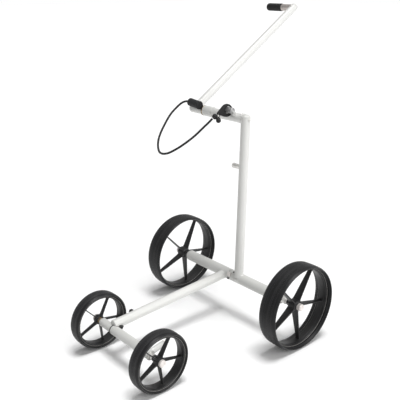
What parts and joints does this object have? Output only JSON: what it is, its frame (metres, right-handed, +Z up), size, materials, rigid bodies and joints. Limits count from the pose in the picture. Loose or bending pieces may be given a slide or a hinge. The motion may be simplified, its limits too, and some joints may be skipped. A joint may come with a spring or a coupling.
{
  "type": "golf push trolley",
  "caption": "Folding golf push trolley on large rear and small front spoked wheels, with an upright post, a side arm, an offset raised handle and an elastic bag cord.",
  "frame": {"origin": "bottom centre of the whole trolley's box, on the ground", "axes": "+X to the trolley's right, -Y towards its front wheels, +Z up"},
  "size_m": [0.7128, 1.1578, 1.1025],
  "materials": {
    "powder_coat": "satin warm-white powder coat",
    "steel": "turned",
    "satin_cap": "satin",
    "black_fittings": "satin black",
    "soft_rubber": "matte",
    "cord": "braided elastic",
    "grip_rubber": "matte",
    "bronze_bush": "oiled bronze",
    "moulded_black": "moulded",
    "tyre_rubber": "matte, fine rings"
  },
  "bodies": {
    "main_frame": {"rear_axle_right_tube": "powder_coat", "rear_pivot_shaft": "black_fittings", "fold_lock_housing": "satin_cap", "fold_lock_screw": "black_fittings", "pivot_rivet": "black_fittings", "upright_post": "powder_coat", "post_cap": "powder_coat", "cross_arm": "powder_coat", "arm_collar": "powder_coat", "arm_screw": "steel", "bag_peg": "steel", "upper_pivot_shaft": "bronze_bush", "hitch_hook": "steel", "cord_eye": "soft_rubber", "elastic_cord": "cord", "cord_ball": "soft_rubber", "cord_toggle": "soft_rubber", "rear_right_stub_axle": "steel", "rear_right_lock_nut": "black_fittings"},
    "fold_lock": {"fold_lock_pin": "steel"},
    "front_beam": {"rear_axle_left_tube": "powder_coat", "beam_tube": "powder_coat", "beam_stop": "soft_rubber", "beam_wedge": "soft_rubber", "front_axle_left_tube": "powder_coat", "front_seal_ring": "soft_rubber", "front_pivot_shaft": "steel", "rear_left_stub_axle": "steel", "rear_left_lock_nut": "black_fittings", "front_left_stub_axle": "steel"},
    "front_right_arm": {"front_axle_right_tube": "powder_coat", "bag_support_arm": "powder_coat", "bag_arm_cap": "satin_cap", "front_right_stub_axle": "steel", "front_right_lock_nut": "black_fittings"},
    "handle": {"handle_barrel": "powder_coat", "handle_tube": "powder_coat", "handle_cap": "powder_coat", "grip_collar": "steel", "grip": "grip_rubber", "grip_bolt": "steel", "cord_sleeve": "soft_rubber", "sleeve_saddle": "soft_rubber"},
    "rear_right_wheel": {"rear_right_wheel": "moulded_black", "rear_right_tyre": "tyre_rubber", "rear_right_bearing": "bronze_bush"},
    "rear_right_knob": {"rear_right_release_knob": "satin_cap"},
    "rear_left_wheel": {"rear_left_wheel": "moulded_black", "rear_left_tyre": "tyre_rubber", "rear_left_bearing": "bronze_bush"},
    "rear_left_knob": {"rear_left_release_knob": "satin_cap"},
    "front_right_wheel": {"front_right_wheel": "moulded_black", "front_right_tyre": "tyre_rubber", "front_right_bearing": "bronze_bush"},
    "front_right_knob": {"front_right_release_knob": "satin_cap"},
    "front_left_wheel": {"front_left_wheel": "moulded_black", "front_left_tyre": "tyre_rubber", "front_left_bearing": "bronze_bush"},
    "front_left_knob": {"front_left_release_knob": "satin_cap"}
  },
  "joints": [
    {"name": "front_fold", "type": "hinge", "parent": "main_frame", "child": "front_beam", "pos_m": [0.01655, 0.0296, 0.15], "axis": [1, 0, 0], "range_deg": [-84, 0], "deforming": ["elastic_cord"]},
    {"name": "handle_fold", "type": "hinge", "parent": "main_frame", "child": "handle", "pos_m": [-0.20845, 0.042, 0.743], "axis": [1, 0, 0], "range_deg": [-100, 28], "deforming": ["elastic_cord"]},
    {"name": "bag_arm_swivel", "type": "hinge", "parent": "front_beam", "child": "front_right_arm", "pos_m": [0.06655, -0.4791, 0.0998], "axis": [1, 0, 0], "range_deg": [0, 90]},
    {"name": "rear_right_spin", "type": "hinge", "parent": "main_frame", "child": "rear_right_wheel", "pos_m": [0.32005, 0.0296, 0.15], "axis": [1, 0, 0], "continuous": true},
    {"name": "rear_right_knob_pull", "type": "slide", "parent": "rear_right_wheel", "child": "rear_right_knob", "axis": [1, 0, 0], "range_m": [0, 0.004], "stiffness_N_per_m": 400},
    {"name": "rear_left_spin", "type": "hinge", "parent": "front_beam", "child": "rear_left_wheel", "pos_m": [-0.28695, 0.0296, 0.15], "axis": [1, 0, 0], "continuous": true},
    {"name": "rear_left_knob_pull", "type": "slide", "parent": "rear_left_wheel", "child": "rear_left_knob", "axis": [-1, 0, 0], "range_m": [0, 0.004], "stiffness_N_per_m": 400},
    {"name": "front_right_spin", "type": "hinge", "parent": "front_right_arm", "child": "front_right_wheel", "pos_m": [0.21875, -0.4791, 0.0998], "axis": [1, 0, 0], "continuous": true},
    {"name": "front_right_knob_pull", "type": "slide", "parent": "front_right_wheel", "child": "front_right_knob", "axis": [1, 0, 0], "range_m": [0, 0.004], "stiffness_N_per_m": 400},
    {"name": "front_left_spin", "type": "hinge", "parent": "front_beam", "child": "front_left_wheel", "pos_m": [-0.11525, -0.4791, 0.0998], "axis": [1, 0, 0], "continuous": true},
    {"name": "front_left_knob_pull", "type": "slide", "parent": "front_left_wheel", "child": "front_left_knob", "axis": [-1, 0, 0], "range_m": [0, 0.004], "stiffness_N_per_m": 400},
    {"name": "fold_lock_pull", "type": "slide", "parent": "main_frame", "child": "fold_lock", "axis": [1, 0, 0], "range_m": [0, 0.008], "stiffness_N_per_m": 300}
  ]
}
